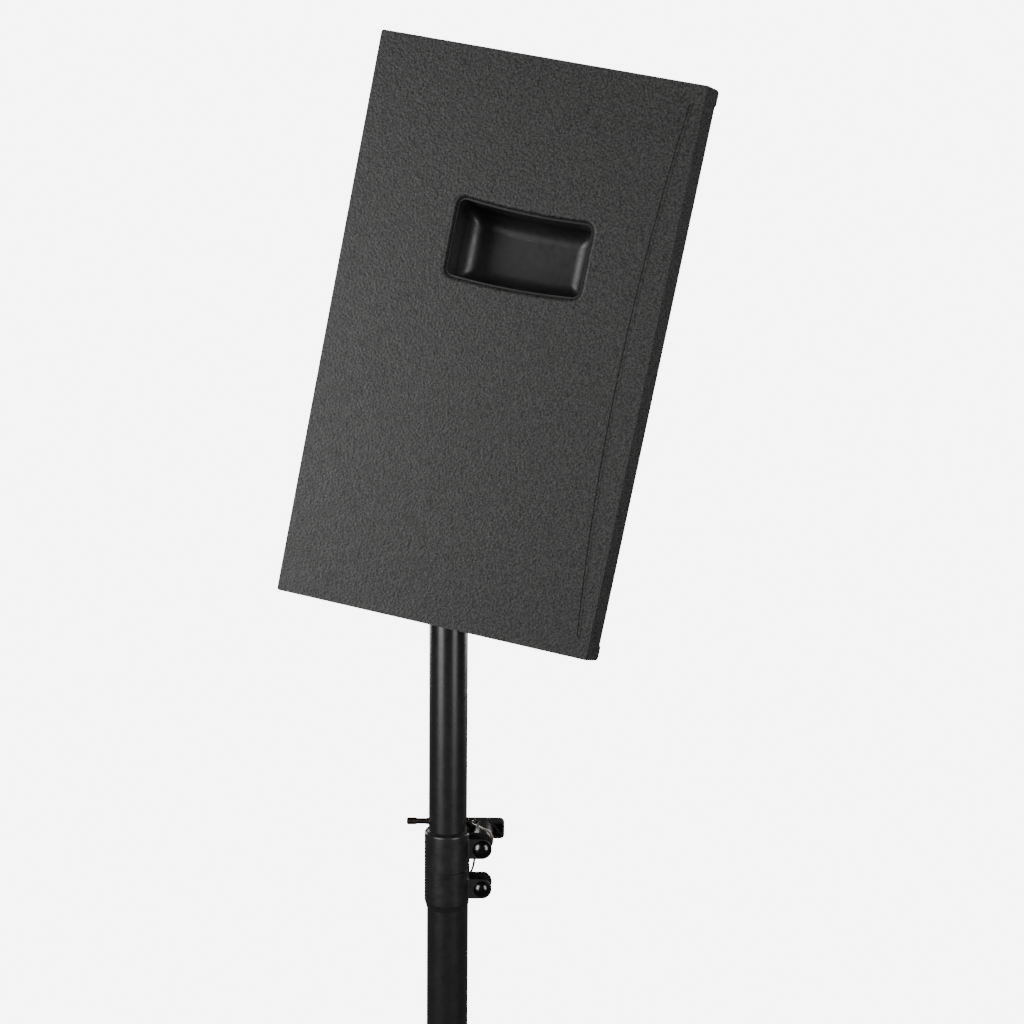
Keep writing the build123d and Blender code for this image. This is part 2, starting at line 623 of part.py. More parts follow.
def locking_pin():
    """Round pin through the tube: fatter tip, turned neck and a flattened eye."""
    points = [
        (0, PIN_TIP), (2.4, PIN_TIP), (3.2, PIN_TIP + 0.8), (3.2, PIN_TIP + 8.6), (2.6, PIN_TIP + 9.4),
        (2.6, -20.0), (PIN_R, -19.4), (PIN_R, PIN_EYE - 3.5), (2.2, PIN_EYE - 2.5), (0, PIN_EYE - 2.5)]
    shaft = FORWARD * turned(points)
    eye = rod((PIN_EYE, -1.6, 0), (PIN_EYE, 1.6, 0), 3.4) - rod((PIN_EYE, -3, 0), (PIN_EYE, 3, 0), 1.7)
    neck = rod((PIN_EYE - 4.5, 0, 0), (PIN_EYE - 2.6, 0, 0), 1.9)
    return Pos(0, 0, PIN_Z) * (shaft + neck + eye)


RING_R = 2.7
RING_LEAN = 45.0


def pin_ring():
    """Small ring that hangs down and out from the pin's eye."""
    return Pos(PIN_EYE, 0, PIN_Z) * Rot(0, RING_LEAN, 0) * Pos(RING_R - 0.6, 0, 0) * Torus(RING_R, 0.6)


# ---- tripod -----------------------------------------------------------------------------------
def around(azimuth):
    """Turn a piece drawn for the forward leg to its own direction."""
    return Rot(0, 0, azimuth)


def collar_lugs():
    """Slotted lug plates beside the top of the forward leg."""
    plate_t, width, drop = 2.5, 10.0, 12.0
    inner = STRAP_IN + 0.4
    top = SLOT_RISE + width + 1
    side = Pos((PIVOT_R + 22) / 2 + width / 2, (top - drop) / 2)
    outline = side * Rectangle(PIVOT_R - 22 + width, top + drop)
    outline = fillet([p for p in outline.vertices() if p.X > PIVOT_R], 8.0)
    slot_centre = Pos(PIVOT_R, SLOT_RISE / 2)
    slot = slot_centre * Rot(0, 0, 90) * SlotCenterToCenter(SLOT_RISE, 6.8)
    plate = Plane.XZ * (outline - slot)
    plates = []
    for start in (inner + plate_t, -inner):
        plates.append(Pos(0, start, COLLAR_PIVOT_Z) * extrude(plate, plate_t))
    return plates


COLLAR_OR = 26.5
COLLAR_IR = LOWER_OR + 0.4
KNOB_Z = COLLAR_PIVOT_Z + 9.0


def leg_collar():
    """Sliding collar that carries the tops of the three legs and a boss for its locking knob."""
    body = ring(COLLAR_OR, COLLAR_IR, COLLAR_PIVOT_Z - 14, COLLAR_PIVOT_Z + 32)
    for azimuth in LEG_AZIMUTHS:
        for plate in collar_lugs():
            body += around(azimuth) * plate
    boss = rod((-42, 0, KNOB_Z), (-20, 0, KNOB_Z), 10.0)
    body += boss
    body -= Pos(0, 0, COLLAR_PIVOT_Z - 50) * Cylinder(COLLAR_IR, 120, align=LOW)
    body -= rod((-50, 0, KNOB_Z), (0, 0, KNOB_Z), 4.3)
    return body


def collar_pad():
    """Nylon pad that the collar's knob presses on the tube."""
    return rod((-26.5, 0, KNOB_Z), (-LOWER_OR - 0.45, 0, KNOB_Z), 4.0)


def collar_knob():
    """Three-lobed knob with its threaded stud."""
    lobes = Circle(13.0)
    for turn in range(3):
        lobes += Rot(0, 0, 120 * turn) * Pos(12.5, 0) * Circle(8.5)
    head = extrude(lobes, 14)
    head = fillet(head.faces().sort_by(Axis.Z)[-1].edges(), 2.5)
    neck = Pos(0, 0, -7) * Cylinder(9.0, 7, align=LOW)
    stud = Pos(0, 0, -23) * Cylinder(3.95, 17, align=LOW)
    return Pos(-49.5, 0, KNOB_Z) * Rot(0, -90, 0) * (head + neck + stud)


def bottom_bracket():
    """Clamped bracket at the foot of the lower tube, with a lug for each brace."""
    body = ring(COLLAR_OR, LOWER_OR, BRACKET_PIVOT_Z - 20, BRACKET_PIVOT_Z + 16)
    lug = Pos((PIVOT_R + 22) / 2, 0) * Rectangle(PIVOT_R - 22, 18) + Pos(PIVOT_R, 0) * Circle(9.0)
    lug_half = STRAP_IN - 0.3
    for azimuth in LEG_AZIMUTHS:
        block_lug = extrude(Plane.XZ * lug, lug_half, both=True)
        body += around(azimuth) * Pos(0, 0, BRACKET_PIVOT_Z) * block_lug
    body -= Pos(0, 0, BRACKET_PIVOT_Z - 60) * Cylinder(LOWER_OR, 120, align=LOW)
    for azimuth in LEG_AZIMUTHS:
        body -= around(azimuth) * rod((PIVOT_R, -30, BRACKET_PIVOT_Z), (PIVOT_R, 30, BRACKET_PIVOT_Z), 3.0)
    return body


def rivet(half, shank_r, head_r):
    """Rivet along Y, centred, with domed heads outside the given half length."""
    pin = rod((0, -half, 0), (0, half, 0), shank_r)
    head = turned([(0, 0), (head_r, 0), (head_r * 0.86, 1.3), (head_r * 0.5, 2.1), (0, 2.4)])
    return pin + Pos(0, half, 0) * Rot(-90, 0, 0) * head + Pos(0, -half, 0) * Rot(90, 0, 0) * head


STRAP_OUT = STRAP_IN + STRAP_T


def bracket_rivets():
    """Rivets of the three lower pivots."""
    pin = Pos(PIVOT_R, 0, BRACKET_PIVOT_Z) * rivet(STRAP_OUT + 0.3, 3.0, 6.0)
    return [around(azimuth) * pin for azimuth in LEG_AZIMUTHS]


LEG_TOP = (PIVOT_R, 0, COLLAR_PIVOT_Z)
LEG_MID = (PIVOT_R + LINK * SIN_LEG, 0, COLLAR_PIVOT_Z - LINK * COS_LEG)
ALONG_LEG = Pos(*LEG_TOP) * Rot(0, -LEG_ANGLE, 0)    # -Z runs down the leg


def leg():
    """Round leg tube with a rounded, closed top and holes for its two pins."""
    tube = Pos(0, 0, -LEG_LENGTH + 4) * (
        Cylinder(LEG_OR, LEG_LENGTH - 4, align=LOW) - Cylinder(LEG_IR, LEG_LENGTH - 24, align=LOW))
    tube += Sphere(LEG_OR)
    for at, radius in ((0, 3.0), (-LINK, 4.0)):
        tube -= rod((0, -30, at), (0, 30, at), radius)
    return ALONG_LEG * tube


def leg_pins():
    """Pin in the collar slot and pin through the brace straps."""
    slot_pin = rivet(STRAP_IN + 0.4 + 2.5 + 0.4, 3.0, 5.5)
    strap_pin = rivet(STRAP_OUT + 0.3, 4.0, 6.5)
    return [ALONG_LEG * slot_pin, ALONG_LEG * Pos(0, 0, -LINK) * strap_pin]


def foot():
    """Rubber foot pushed over the end of the leg, flat where it meets the floor."""
    cap = Pos(0, 0, -LEG_LENGTH) * (Sphere(FOOT_R) + Cylinder(FOOT_R - 1.2, 44, align=LOW))
    cap += Pos(0, 0, -LEG_LENGTH + 40) * Cylinder(FOOT_R, 4, align=LOW)
    cap -= Pos(0, 0, -LEG_LENGTH + 4) * Cylinder(LEG_OR, 60, align=LOW)
    cap = ALONG_LEG * cap
    return cap - block((300, 700), (-50, 50), (-50, 0))


def brace():
    """Pair of flat straps between the bottom bracket and a leg."""
    low, high = (PIVOT_R, 0, BRACKET_PIVOT_Z), LEG_MID
    straps = []
    for inner in (STRAP_IN, -STRAP_IN - STRAP_T):
        outline = Pos(0, LINK / 2) * Rectangle(18, LINK) + Circle(9) + Pos(0, LINK) * Circle(9)
        outline -= Circle(3.15) + Pos(0, LINK) * Circle(4.15)
        plate = Pos(0, inner + STRAP_T, 0) * extrude(Plane.XZ * outline, STRAP_T)
        straps.append(Pos(*low) * Rot(0, LEG_ANGLE, 0) * plate)
    return straps


def tube_end_plug():
    """Plastic plug that closes the bottom of the lower tube."""
    bottom = BRACKET_PIVOT_Z - 22
    return turned([
        (0, bottom - 3), (LOWER_OR - 1.5, bottom - 3), (LOWER_OR, bottom - 1.5), (LOWER_OR, bottom),
        (LOWER_IR, bottom), (LOWER_IR, bottom + 16), (LOWER_IR - 2, bottom + 16), (LOWER_IR - 2, bottom), (0, bottom)])


# ---- lanyard ----------------------------------------------------------------------------------
CORD_R = 1.1
CORD_ROUTE = [
    (27.2, 0.6, 1078.6), (29.8, 3.6, 1076.2), (32.6, 8.4, 1073.2), (37.2, 13.4, 1069.8),
    (41.1, 15.0, 1062.6), (40.0, 17.0, 1054.2), (33.0, 20.0, 1049.9), (24.0, 24.0, 1047.6),
    (15.6, 28.6, 1040.5), (11.6, 30.4, 1031.0), (15.0, 25.0, 1024.2), (19.8, 18.4, 1026.4),
    (22.8, 13.6, 1034.4), (24.0, 12.0, 1041.4), (24.8, 11.56, 1048.52)]


def cord_radii(points):
    """The largest arc that each pair of runs allows."""
    radii = []
    for before, here, after in zip(points, points[1:], points[2:]):
        run_in, run_out = here - before, after - here
        turn = radians(run_in.get_angle(run_out))
        radii.append(0.45 * min(run_in.length, run_out.length) / tan(turn / 2))
    return radii


def lanyard():
    """Thin cord from the pin's ring, over the far ear, in a slack loop to its crimp."""
    points = [Vector(*point) for point in CORD_ROUTE]
    radii = cord_radii(points)
    path = FilletPolyline(*points, radius=radii)
    print("cord radii", [round(radius, 1) for radius in radii])
    start = Plane(origin=path @ 0, z_dir=path % 0)
    cord = sweep(start * Circle(CORD_R), path)
    straight_volume = pi * CORD_R ** 2 * path.length
    print("lanyard length", round(path.length, 1), "least radius", round(min(radii), 1),
          "volume ratio", round(cord.volume / straight_volume, 4))
    return cord


# ---- stand assembly ---------------------------------------------------------------------------
def build_stand():
    """Make every piece of the stand."""
    keep("upper_tube", upper_tube())
    keep("pole_cap", pole_cap())
    keep("lower_tube", lower_tube())
    keep("clamp_sleeve", clamp_sleeve())
    keep("guide_bush", guide_bush())
    keep("clamp_bolt", carriage_bolt(CLAMP_BOLT_Z, 8.3, 47.0))
    keep("fixed_bolt", carriage_bolt(FIXED_BOLT_Z, 7.4, 29.0))
    seat = EAR_GAP + PLATE
    keep("fixed_nut", Pos(EAR_X, seat, FIXED_BOLT_Z) * Rot(-90, 0, 0) * hex_nut(6.5))
    keep("clamp_washer", clamp_washer())
    keep("clamp_knob", clamp_knob())
    keep("knob_insert", knob_insert())
    keep("locking_pin", locking_pin())
    keep("pin_ring", pin_ring())
    keep("lanyard_eye", lanyard_eye())
    keep("lanyard", lanyard())
    keep("leg_collar", leg_collar())
    keep("collar_pad", collar_pad())
    keep("collar_knob", collar_knob())
    keep("bottom_bracket", bottom_bracket())
    keep("bracket_rivets", group(bracket_rivets()))
    keep("tube_end_plug", tube_end_plug())
    for number, azimuth in enumerate(LEG_AZIMUTHS, start=1):
        turn = around(azimuth)
        keep(f"leg_{number}", turn * leg())
        keep(f"leg_pins_{number}", group([turn * pin for pin in leg_pins()]))
        keep(f"foot_{number}", turn * foot())
        keep(f"brace_{number}", group([turn * strap for strap in brace()]))


if __name__ == "__main__":
    build_cabinet()
    build_stand()
    os.makedirs("parts", exist_ok=True)
    for name, shape in pieces.items():
        export_step(shape, f"parts/{name}.step")
    print(len(pieces), "nodes")
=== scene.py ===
from math import cos, pi, radians, sin, sqrt, tan

import bmesh
import bpy
from mathutils import Matrix, Vector, noise
from mathutils.geometry import delaunay_2d_cdt


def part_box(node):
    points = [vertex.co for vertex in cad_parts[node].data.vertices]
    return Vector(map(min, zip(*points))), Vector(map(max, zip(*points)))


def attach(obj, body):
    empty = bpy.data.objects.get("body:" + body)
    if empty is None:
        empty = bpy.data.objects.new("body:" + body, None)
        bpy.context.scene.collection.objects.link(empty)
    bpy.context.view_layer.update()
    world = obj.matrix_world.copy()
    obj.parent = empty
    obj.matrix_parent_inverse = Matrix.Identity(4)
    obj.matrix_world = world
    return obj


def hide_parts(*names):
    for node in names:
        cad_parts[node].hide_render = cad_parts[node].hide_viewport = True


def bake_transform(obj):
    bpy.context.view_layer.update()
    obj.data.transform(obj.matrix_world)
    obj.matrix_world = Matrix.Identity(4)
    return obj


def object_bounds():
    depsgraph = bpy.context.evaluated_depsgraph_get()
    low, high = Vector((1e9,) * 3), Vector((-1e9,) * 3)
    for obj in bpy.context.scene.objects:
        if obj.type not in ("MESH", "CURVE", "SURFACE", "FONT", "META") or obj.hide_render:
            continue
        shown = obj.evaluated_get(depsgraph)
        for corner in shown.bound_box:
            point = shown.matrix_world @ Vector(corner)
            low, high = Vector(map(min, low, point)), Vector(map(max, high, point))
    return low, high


# Loudspeaker on a tripod stand: the finish of every CAD part, and the pieces that CAD keeps plain.
# Metres, +Z up, the loudspeaker faces +X.

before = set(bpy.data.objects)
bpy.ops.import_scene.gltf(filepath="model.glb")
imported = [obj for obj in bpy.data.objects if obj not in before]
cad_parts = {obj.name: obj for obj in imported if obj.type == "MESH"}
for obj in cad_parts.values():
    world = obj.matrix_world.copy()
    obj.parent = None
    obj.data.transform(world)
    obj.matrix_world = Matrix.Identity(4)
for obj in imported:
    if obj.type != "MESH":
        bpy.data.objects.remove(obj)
cad_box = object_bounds()
MM = 0.001

# ---- places, read from the frame ----------------------------------------------------------------
TUBE_LOW, TUBE_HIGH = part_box("upper_tube")
POLE_X = (TUBE_LOW.x + TUBE_HIGH.x) / 2
CLAMP_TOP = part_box("clamp_sleeve")[1].z
FLOOR_Z = cad_box[0].z

TILT = radians(10.98)                # forward lean of the cabinet
SPLAY = radians(8.0)                 # each side opens this far towards the front
WALL = 15 * MM
REAR_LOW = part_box("rear_panel")[0]   # the panel starts one wall above the cabinet's rear edge
CABINET = Matrix.Translation((
    REAR_LOW.x - WALL * sin(TILT),
    0,
    REAR_LOW.z + WALL * sin(TILT) - WALL * cos(TILT))) @ Matrix.Rotation(TILT, 4, "Y")
CABINET_HEIGHT = 453 * MM
REAR_HALF = 107 * MM
INNER_REAR_HALF = REAR_HALF - WALL / cos(SPLAY)
BAFFLE_U = 243 * MM
GRILLE_U = 258 * MM
WOOFER_V = 150 * MM
SOCKET_U = 135.4 * MM / cos(TILT)    # leaning pole socket, and the spare level one
SPARE_SOCKET_U = 67 * MM


def in_cabinet(u, w, v):
    """Row frame point of a point in the cabinet: u forwards, w across, v up."""
    return CABINET @ Vector((u, w, v))


def inner_half(u):
    """Half of the room between the two side panels at the distance u from the rear."""
    return INNER_REAR_HALF + u * tan(SPLAY)


# ---- building pieces ----------------------------------------------------------------------------
def piece_from(name, bm, slot, smooth=True):
    """Turn a bmesh in the row frame into an object with the slot's finish."""
    bmesh.ops.recalc_face_normals(bm, faces=bm.faces)
    for face in bm.faces:
        face.smooth = smooth
    mesh = bpy.data.meshes.new(name)
    bm.to_mesh(mesh)
    bm.free()
    mesh.materials.append(finish_of(slot))
    made = bpy.data.objects.new(name, mesh)
    bpy.context.scene.collection.objects.link(made)
    return made


def thicken(sheet, thickness):
    """Give an open sheet in the cabinet its thickness, backwards from its front."""
    forward = CABINET.to_3x3() @ Vector((1, 0, 0))
    if sum(face.normal.dot(forward) for face in sheet.data.polygons) < 0:
        sheet.data.flip_normals()
    solid = sheet.modifiers.new("thickness", "SOLIDIFY")
    solid.thickness = thickness
    solid.offset = -1
    bpy.context.view_layer.update()
    graph = bpy.context.evaluated_depsgraph_get()
    mesh = bpy.data.meshes.new_from_object(sheet.evaluated_get(graph))
    sheet.modifiers.clear()
    sheet.data = mesh


def bridge(bm, loop_a, loop_b, closed=True):
    """Quads between two rings of vertices of the same count."""
    count = len(loop_a)
    for i in range(count if closed else count - 1):
        j = (i + 1) % count
        bm.faces.new((loop_a[i], loop_a[j], loop_b[j], loop_b[i]))


def skin(bm, rings):
    """Closed skin over a row of rings of vertices."""
    for before, ring in zip(rings, rings[1:]):
        bridge(bm, before, ring)
    bm.faces.new(rings[0])
    bm.faces.new(rings[-1])


def frames_along(line):
    """Each point of a line, with two directions across it that don't twist around it."""
    across = (line[1] - line[0]).orthogonal()
    last = len(line) - 1
    for i, at in enumerate(line):
        ahead = (line[min(i + 1, last)] - line[max(i - 1, 0)]).normalized()
        across = (across - ahead * across.dot(ahead)).normalized()
        yield at, across, ahead.cross(across)


# ---- finishes -----------------------------------------------------------------------------------
class Finish:
    """A procedural material.  Each method adds one trait of the surface."""

    def __init__(self, name, metallic=0.0, specular=0.5, coat=0.0, coat_roughness=0.1, sheen=0.0):
        self.material = bpy.data.materials.new(name)
        self.material.use_nodes = True
        self.nodes = self.material.node_tree.nodes
        self.links = self.material.node_tree.links
        self.shader = self.nodes["Principled BSDF"]
        for socket, value in (
                ("Metallic", metallic), ("Specular IOR Level", specular), ("Coat Weight", coat),
                ("Coat Roughness", coat_roughness), ("Sheen Weight", sheen)):
            self.shader.inputs[socket].default_value = value
        self.place = self.nodes.new("ShaderNodeTexCoord").outputs["Object"]
        self.bump = None

    def stretched(self, stretch):
        """Object coordinates, scaled along each axis."""
        mapping = self.nodes.new("ShaderNodeMapping")
        mapping.inputs["Scale"].default_value = stretch
        self.links.new(self.place, mapping.inputs["Vector"])
        return mapping.outputs["Vector"]

    def noise(self, size, detail=2.0, roughness=0.5, stretch=None):
        """Soft noise with features of the given size in metres."""
        made = self.nodes.new("ShaderNodeTexNoise")
        made.inputs["Scale"].default_value = 1 / size
        made.inputs["Detail"].default_value = detail
        made.inputs["Roughness"].default_value = roughness
        self.links.new(self.stretched(stretch) if stretch else self.place, made.inputs["Vector"])
        return made.outputs["Fac"]

    def cells(self, size, smooth=0.6):
        """Rounded cells of the given size in metres."""
        made = self.nodes.new("ShaderNodeTexVoronoi")
        made.feature = "SMOOTH_F1"
        made.inputs["Scale"].default_value = 1 / size
        made.inputs["Smoothness"].default_value = smooth
        self.links.new(self.place, made.inputs["Vector"])
        return made.outputs["Distance"]

    def colour(self, source, dark, light, low=0.35, high=0.65):
        """Base colour between two linear colours."""
        ramp = self.nodes.new("ShaderNodeValToRGB")
        ramp.color_ramp.elements[0].position = low
        ramp.color_ramp.elements[1].position = high
        ramp.color_ramp.elements[0].color = (*dark, 1)
        ramp.color_ramp.elements[1].color = (*light, 1)
        self.links.new(source, ramp.inputs["Fac"])
        self.links.new(ramp.outputs["Color"], self.shader.inputs["Base Color"])
        return self

    def rough(self, source, low, high):
        """Roughness between two values."""
        span = self.nodes.new("ShaderNodeMapRange")
        span.inputs["From Min"].default_value = 0.3
        span.inputs["From Max"].default_value = 0.7
        span.inputs["To Min"].default_value = low
        span.inputs["To Max"].default_value = high
        self.links.new(source, span.inputs["Value"])
        self.links.new(span.outputs["Result"], self.shader.inputs["Roughness"])
        return self

    def relief(self, source, depth):
        """Bump of the given depth in metres, on top of any earlier one."""
        made = self.nodes.new("ShaderNodeBump")
        made.inputs["Distance"].default_value = depth
        made.inputs["Strength"].default_value = 1.0
        self.links.new(source, made.inputs["Height"])
        if self.bump:
            self.links.new(self.bump.outputs["Normal"], made.inputs["Normal"])
        self.links.new(made.outputs["Normal"], self.shader.inputs["Normal"])
        self.bump = made
        return self


def grey(value, warm=0.0):
    """Linear grey, a little warmer or cooler."""
    return (value * (1 + warm), value, value * (1 - warm))


def cabinet_paint():
    """Hard textured black paint with a two-millimetre grain."""
    made = Finish("cabinet_paint", specular=0.45)
    made.colour(made.noise(1.4 * MM, 2, 0.5), grey(0.005, 0.02), grey(0.036, 0.02), 0.38, 0.62)
    made.rough(made.noise(9 * MM), 0.48, 0.56)
    made.relief(made.cells(2.0 * MM), 0.22 * MM)
    return made.relief(made.noise(0.9 * MM), 0.12 * MM)


def powder_coat(name, level, low, high, peel=0.012, size=1.6):
    """Satin powder coat on steel, with a faint orange peel."""
    made = Finish(name, specular=0.5)
    made.colour(made.noise(14 * MM, 3), grey(level * 0.85, 0.01), grey(level * 1.15, 0.01))
    made.rough(made.noise(6 * MM, 3), low, high)
    return made.relief(made.noise(size * MM, 2), peel * MM)


def moulded_plastic(name, level, low, high, grain=0.5, depth=0.02):
    """Moulded black plastic with a fine spark-eroded grain."""
    made = Finish(name, specular=0.5)
    made.colour(made.noise(20 * MM, 4), grey(level * 0.85), grey(level * 1.2))
    made.rough(made.noise(5 * MM, 3), low, high)
    return made.relief(made.noise(grain * MM, 3), depth * MM)


def plated_steel(name, dark, light, low, high, grain=3.0):
    """Plated or blackened steel with a slightly clouded surface."""
    made = Finish(name, metallic=1.0)
    made.colour(made.noise(grain * MM, 4), dark, light)
    made.rough(made.noise(grain * 0.6 * MM, 3), low, high)
    return made.relief(made.noise(0.5 * MM, 2), 0.006 * MM)


def foam_finish():
    """Open-cell acoustic foam, its colour darker in the pits of its pores: painted shade."""
    made = Finish("foam", specular=0.15, sheen=0.2)
    pores_and_painted_pore_shade = made.cells(1.3 * MM, 0.2)
    # colour is darkest where the bump is lowest, in the pits of the pores: painted shade in the pores
    made.colour(pores_and_painted_pore_shade, grey(0.004), grey(0.016), 0.1, 0.7)
    made.rough(made.noise(8 * MM), 0.9, 1.0)
    return made.relief(pores_and_painted_pore_shade, 0.5 * MM)


def paper_cone():
    """Pressed paper pulp with visible fibres."""
    made = Finish("cone_paper", specular=0.25)
    made.colour(made.noise(1.2 * MM, 6, 0.7, (1, 1, 3)), grey(0.012, 0.03), grey(0.028, 0.03))
    made.rough(made.noise(4 * MM), 0.75, 0.9)
    return made.relief(made.noise(0.7 * MM, 4, 0.6), 0.05 * MM)


def ferrite():
    """Sintered magnet with its ground plates."""
    made = Finish("magnet_ferrite", specular=0.4)
    made.colour(made.noise(2 * MM, 5), grey(0.035), grey(0.060))
    made.rough(made.noise(3 * MM), 0.55, 0.75)
    return made.relief(made.noise(0.8 * MM, 3), 0.03 * MM)


def circuit_board():
    """Lacquered board."""
    made = Finish("circuit_board", specular=0.5, coat=0.4)
    made.colour(made.cells(6 * MM, 0.1), (0.012, 0.045, 0.020), (0.020, 0.085, 0.035), 0.2, 0.5)
    made.rough(made.noise(5 * MM), 0.35, 0.5)
    return made.relief(made.cells(6 * MM, 0.1), 0.05 * MM)


def copper():
    """Enamelled copper winding."""
    made = Finish("coil_copper", metallic=1.0)
    made.colour(made.noise(2 * MM, 3), (0.52, 0.20, 0.09), (0.68, 0.30, 0.14))
    made.rough(made.noise(2 * MM), 0.25, 0.4)
    return made.relief(made.noise(0.35 * MM, 1, 0.5, (1, 1, 8)), 0.05 * MM)


def soft_rubber(name, level, low=0.6, high=0.8):
    """Matt rubber with a trace of dust."""
    made = Finish(name, specular=0.35, sheen=0.08)
    made.colour(made.noise(7 * MM, 5, 0.6), grey(level * 0.8, 0.02), grey(level * 1.5, 0.03))
    made.rough(made.noise(4 * MM, 3), low, high)
    return made.relief(made.noise(0.8 * MM, 3), 0.03 * MM)


def wire_coat():
    """Stranded steel wire under a clear, slightly browned plastic coat."""
    made = Finish("lanyard_coat", metallic=0.35, coat=0.6, coat_roughness=0.2)
    made.colour(made.noise(1.5 * MM, 3), (0.16, 0.135, 0.11), (0.30, 0.26, 0.22))
    made.rough(made.noise(1 * MM), 0.3, 0.45)
    return made.relief(made.noise(0.4 * MM, 2), 0.02 * MM)


BLACK_STEEL = (grey(0.030), grey(0.060))
ZINC = ((0.42, 0.42, 0.40), (0.58, 0.58, 0.56))
FINISHES = {
    "cabinet_paint": cabinet_paint(),
    "grille_steel": powder_coat("grille_steel", 0.014, 0.40, 0.50, 0.02, 0.8),
    "foam": foam_finish(),
    "cup_plastic": moulded_plastic("cup_plastic", 0.016, 0.36, 0.46, 0.7, 0.012),
    "socket_plastic": moulded_plastic("socket_plastic", 0.014, 0.40, 0.52),
    "screw_steel": plated_steel("screw_steel", *BLACK_STEEL, 0.25, 0.40),
    "connector_plastic": moulded_plastic("connector_plastic", 0.018, 0.30, 0.42),
    "circuit_board": circuit_board(),
    "basket_steel": powder_coat("basket_steel", 0.016, 0.40, 0.55),
    "magnet_ferrite": ferrite(),
    "cone_paper": paper_cone(),
    "surround_rubber": soft_rubber("surround_rubber", 0.012, 0.45, 0.6),
    "coil_copper": copper(),
    "horn_plastic": moulded_plastic("horn_plastic", 0.014, 0.38, 0.5),
    "tube_paint": powder_coat("tube_paint", 0.012, 0.27, 0.33, 0.008),
    "clamp_paint": powder_coat("clamp_paint", 0.013, 0.26, 0.36, 0.018, 1.2),
    "bolt_black": plated_steel("bolt_black", grey(0.05), grey(0.08), 0.14, 0.22, 6.0),
    "bush_plastic": moulded_plastic("bush_plastic", 0.020, 0.40, 0.5),
    "knob_plastic": moulded_plastic("knob_plastic", 0.016, 0.30, 0.42, 0.6, 0.015),
    "zinc_steel": plated_steel("zinc_steel", *ZINC, 0.25, 0.42),
    "pin_oxide": plated_steel("pin_oxide", (0.045, 0.036, 0.030), (0.10, 0.08, 0.066), 0.28, 0.42, 2.0),
    "lanyard_coat": wire_coat(),
    "collar_plastic": moulded_plastic("collar_plastic", 0.015, 0.36, 0.48),
    "strap_paint": powder_coat("strap_paint", 0.012, 0.28, 0.38, 0.015),
    "rivet_steel": plated_steel("rivet_steel", grey(0.10), grey(0.20), 0.25, 0.38),
    "foot_rubber": soft_rubber("foot_rubber", 0.016),
}


def finish_of(slot):
    """The material for one of the record's slots."""
    return FINISHES[slot].material


def finish_cad_nodes():
    """Give every CAD part the detailed finish of the slot it was packed with."""
    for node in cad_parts.values():
        for holder in node.material_slots:
            packed = holder.material.name.split(".")[0]
            holder.material = finish_of(packed)


# ---- camera -------------------------------------------------------------------------------------
LENS = 46.05                         # focal length and sensor width in millimetres
SENSOR = 36
CAMERA_AT = (POLE_X + 0.0573, -1.1655, CLAMP_TOP + 0.4129)
YAW, PITCH_DOWN, ROLL = radians(0.055), radians(5.906), radians(0.525)


def make_camera():
    """A standing person's view of the loudspeaker's right side."""
    data = bpy.data.cameras.new("camera")
    data.lens = LENS
    data.sensor_width = SENSOR
    camera = bpy.data.objects.new("camera", data)
    aim = Matrix.Rotation(YAW, 4, "Z") @ Matrix.Rotation(pi / 2 - PITCH_DOWN, 4, "X")
    camera.matrix_world = Matrix.Translation(CAMERA_AT) @ aim @ Matrix.Rotation(ROLL, 4, "Z")
    bpy.context.scene.collection.objects.link(camera)
    bpy.context.scene.camera = camera


# ---- lanyard ------------------------------------------------------------------------------------
CORD_DIAMETER = 2.2 * MM
CORD_ROUTE = [
    (0.0272, 0.0006, 1.0786), (0.0298, 0.0036, 1.0762), (0.0326, 0.0084, 1.0732), (0.0372, 0.0134, 1.0698),
    (0.0411, 0.0150, 1.0626), (0.0400, 0.0170, 1.0542), (0.0330, 0.0200, 1.0499), (0.0240, 0.0240, 1.0476),
    (0.0156, 0.0286, 1.0405), (0.0116, 0.0304, 1.0310), (0.0150, 0.0250, 1.0242), (0.0198, 0.0184, 1.0264),
    (0.0228, 0.0136, 1.0344), (0.0240, 0.0120, 1.0414), (0.0248, 0.01156, 1.04852)]


def smooth_line(name, points, steps=24):
    """Points along the NURBS spline with these control points."""
    data = bpy.data.curves.new(name, "CURVE")
    data.dimensions = "3D"
    data.resolution_u = steps
    spline = data.splines.new("NURBS")
    spline.points.add(len(points) - 1)
    for control, point in zip(spline.points, points):
        control.co = (*point, 1)
    spline.order_u = 3
    spline.use_endpoint_u = True
    curve = bpy.data.objects.new(name, data)
    bpy.context.scene.collection.objects.link(curve)
    bpy.context.view_layer.update()
    mesh = bpy.data.meshes.new_from_object(curve)
    line = [vertex.co.copy() for vertex in mesh.vertices]
    bpy.data.objects.remove(curve)
    return line


def line_length(line):
    """Length of a line of points."""
    return sum((b - a).length for a, b in zip(line, line[1:]))


def wire_rope(bm, line, radius, strands=6, groove=0.2, lay=9 * MM, sides=42):
    """Twisted wire along a line: a lobed section that turns once in each lay length."""
    rings = []
    travelled = 0.0
    for i, (at, across, other) in enumerate(frames_along(line)):
        travelled += (at - line[i - 1]).length if i else 0.0
        ring = []
        for k in range(sides):
            angle = 2 * pi * k / sides
            out = radius * (1 - groove + groove * abs(cos(strands / 2 * angle)))
            turned = angle + 2 * pi * travelled / lay
            ring.append(bm.verts.new(at + (across * cos(turned) + other * sin(turned)) * out))
        rings.append(ring)
    skin(bm, rings)


def round_tube(bm, line, radii, sides=20):
    """Closed round tube along a line, with a radius at each point."""
    angles = [2 * pi * k / sides for k in range(sides)]
    skin(bm, [
        [bm.verts.new(at + (across * cos(angle) + other * sin(angle)) * radius) for angle in angles]
        for (at, across, other), radius in zip(frames_along(line), radii)])


LEAD = 8 * MM                        # first stretch of the wire, in its crimped sleeve
LEAD_WALL = 0.12 * MM
LEAD_TUCK = 0.1 * MM                 # the sleeve's ends close this far inside the wire


